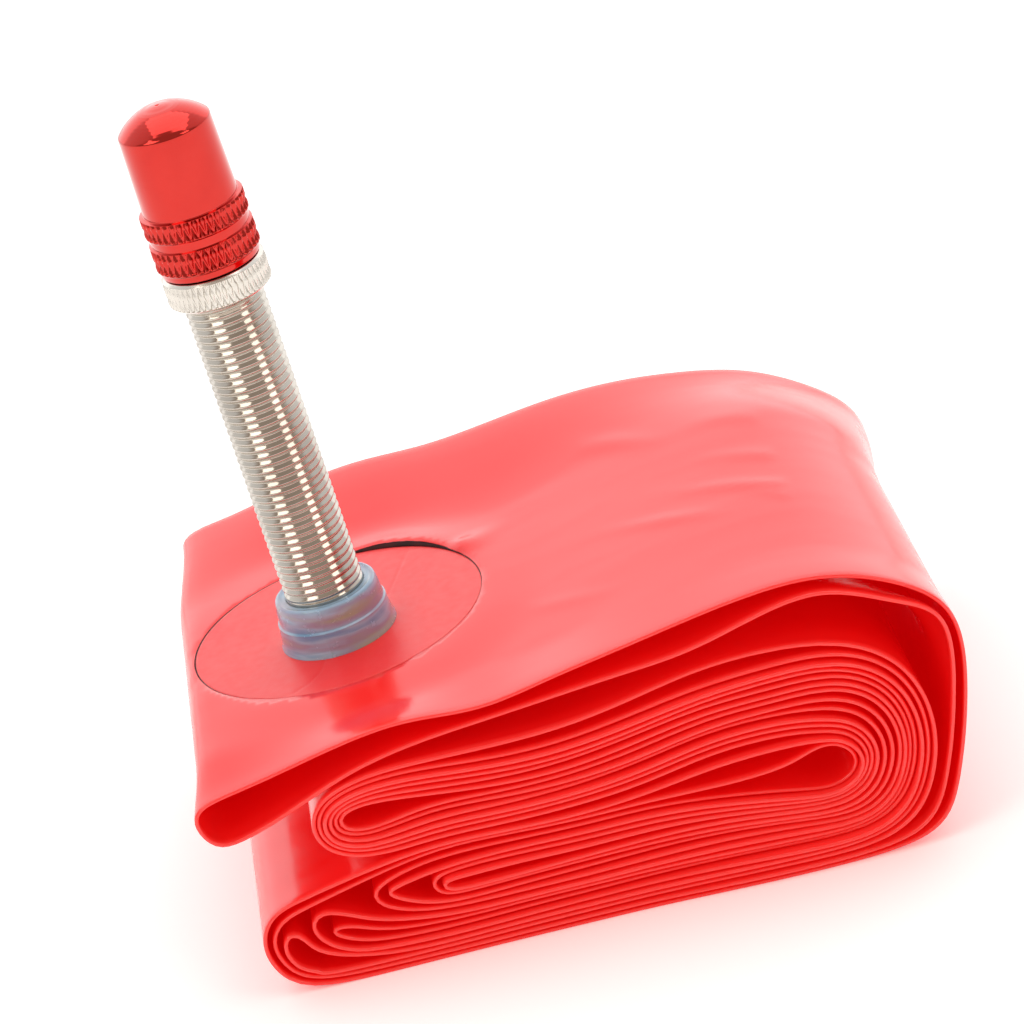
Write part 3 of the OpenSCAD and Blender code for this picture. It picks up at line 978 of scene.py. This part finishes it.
def dome_outline():
    """The cap's dome from its shoulder to its middle, with a flat spot and a small centre mark."""
    radius = (SHOULDER_R ** 2 + DOME_H ** 2) / (2 * DOME_H)
    edge = math.asin(SHOULDER_R / radius)
    flat_depth, flat_r = 0.06, (0.9, 1.5)
    steps = 12
    outline = []
    for k in range(1, steps):
        a = edge * (1 - k / steps)
        flat = flat_depth * (1 - rise(radius * math.sin(a), *flat_r))
        outline.append((radius * math.sin(a), CAP_TOP - radius + radius * math.cos(a) - flat, 0))
    mark = [(0.16, CAP_TOP - 0.06, 0), (0.1, CAP_TOP - 0.12, 0), (AXIS, CAP_TOP - 0.13, 0)]
    return outline + mark


def cap_piece():
    """The dust cap: a chamfered foot, two coarse knurled bands with a groove between, a dome, and
    a bore that clears the neck and the pin."""
    foot = CAP_FOOT
    lower_low, lower_high = foot + 0.6, foot + 2.3
    upper_low, upper_high = foot + 3.15, foot + 4.55
    neck_bore, pin_bore = NECK_R + 0.05, PIN_R + 0.5
    neck_end, pin_end = NECK_TOP + 3.7, PIN_TOP + 0.4
    body_r = CAP_R - 0.34
    outline = [(neck_bore, foot, 0.1), (CAP_R - 0.22, foot, 0.06), (CAP_R - 0.1, foot + 0.5, 0.06),
               (CAP_R, lower_low, 0), (CAP_R, lower_high, 0.04), (CAP_R - 0.2, foot + 2.37, 0.04),
               (CAP_R - 0.13, foot + 3.03, 0.06), (CAP_R, upper_low, 0.05),
               (CAP_R, upper_high, 0.06), (body_r, foot + 4.62, 0.05), (body_r, foot + 4.75, 0.05),
               (SHOULDER_R, CAP_TOP - DOME_H, 0.12)]
    outline += dome_outline()
    outline += [(AXIS, pin_end, 0), (pin_bore, pin_end, 0.1), (pin_bore, neck_end, 0),
                (neck_bore, neck_end, 0.1)]
    teeth, lead, depth = 40, 2.2, 0.28
    over = 0.02
    groove_middle = foot + 2.7
    lower = knurl(teeth, lead, depth, lower_low, lower_high + over, CAP_R)
    upper = knurl(teeth, lead, depth, upper_low - over, upper_high + over, CAP_R)

    def bands(a, r, s):
        return np.where(s < groove_middle, lower(a, r, s), upper(a, r, s))

    cap = turned("dust_cap_knurled", outline, ANODISED, bands, segments=400, step=0.07)
    tie(cap, "cap", "red_anodised", "dust_cap")


def finish_hidden_nodes():
    """The two seals keep their CAD shape and get their rubber."""
    for name in ("core_gasket", "core_seal"):
        mesh = frame["nodes"][name].data
        mesh.materials.clear()
        mesh.materials.append(RUBBER)


# ---------------------------------------------------------------- floor and light
FLOOR_HALF = 4000
WARM = (1, 0.95, 0.87)
WHITE = (1, 1, 1)
LIGHT_TARGET = Vector((0, 0, 15))
# The room's brightness from in front of the bundle to behind it
ROOM_Y = (-0.5, 0.7)
ROOM_STOPS = [(0.2, (0.46, 0.385, 0.33)), (0.36, (0.8, 0.8, 0.8)), (0.84, (1, 1, 1)),
              (0.92, (1.5, 1.5, 1.5))]


def add_stage():
    """A plain pale floor. Its faint glow keeps it near white."""
    material, tree, surface = shader("floor", Roughness=0.9, Specular_IOR_Level=0.1,
                                     Emission_Color=(1, 1, 1, 1), Emission_Strength=0.2)
    pale = wandering(tree, 3, (0.93, 0.93, 0.93), (0.96, 0.96, 0.96))
    tree.links.new(pale, surface.inputs["Base Color"])
    corners = [(-FLOOR_HALF, -FLOOR_HALF, 0), (FLOOR_HALF, -FLOOR_HALF, 0),
               (FLOOR_HALF, FLOOR_HALF, 0), (-FLOOR_HALF, FLOOR_HALF, 0)]
    floor = add_mesh("floor", corners, [(0, 1, 2, 3)], material)


def add_light(name, place, size, power, colour):
    """A soft rectangular light that faces the bundle; place and size are in millimetres."""
    data = bpy.data.lights.new(name, "AREA")
    data.shape = "RECTANGLE"
    data.size, data.size_y = size[0] * MM, size[1] * MM
    data.energy = power
    data.color = colour
    light = bpy.data.objects.new(name, data)
    place = Vector(place)
    turn = (LIGHT_TARGET - place).to_track_quat("-Z", "Y").to_matrix().to_4x4()
    light.matrix_world = Matrix.Translation(place * MM) @ turn
    scene.collection.objects.link(light)


def add_lights():
    """Two tall soft boxes in front and a large one overhead."""
    add_light("key", place=(-303, -240, 348), size=(210, 300), power=0.43, colour=WARM)
    add_light("fill", place=(290, -272, 334), size=(150, 300), power=0.28, colour=WARM)
    add_light("top", place=(0, 80, 520), size=(500, 400), power=0.75, colour=WHITE)


def add_room():
    """A room that is dim and warm in front of the bundle and white behind it."""
    world = bpy.data.worlds.new("studio")
    scene.world = world
    world.use_nodes = True
    tree = world.node_tree
    where = node(tree, "ShaderNodeTexCoord")
    split = node(tree, "ShaderNodeSeparateXYZ")
    tree.links.new(where.outputs["Generated"], split.inputs["Vector"])
    walls = ramp(tree, span(tree, split.outputs["Y"], 0, 1, *ROOM_Y), *ROOM_STOPS)
    tree.links.new(walls, tree.nodes["Background"].inputs["Color"])


add_camera()
add_stage()
add_lights()
add_room()
film_piece()
patch_piece()
patch_gap_shade_piece()
collar_piece()
stem_piece()
core_body_piece()
core_pin_piece()
lock_nut_piece()
rim_nut_piece()
cap_piece()
finish_hidden_nodes()
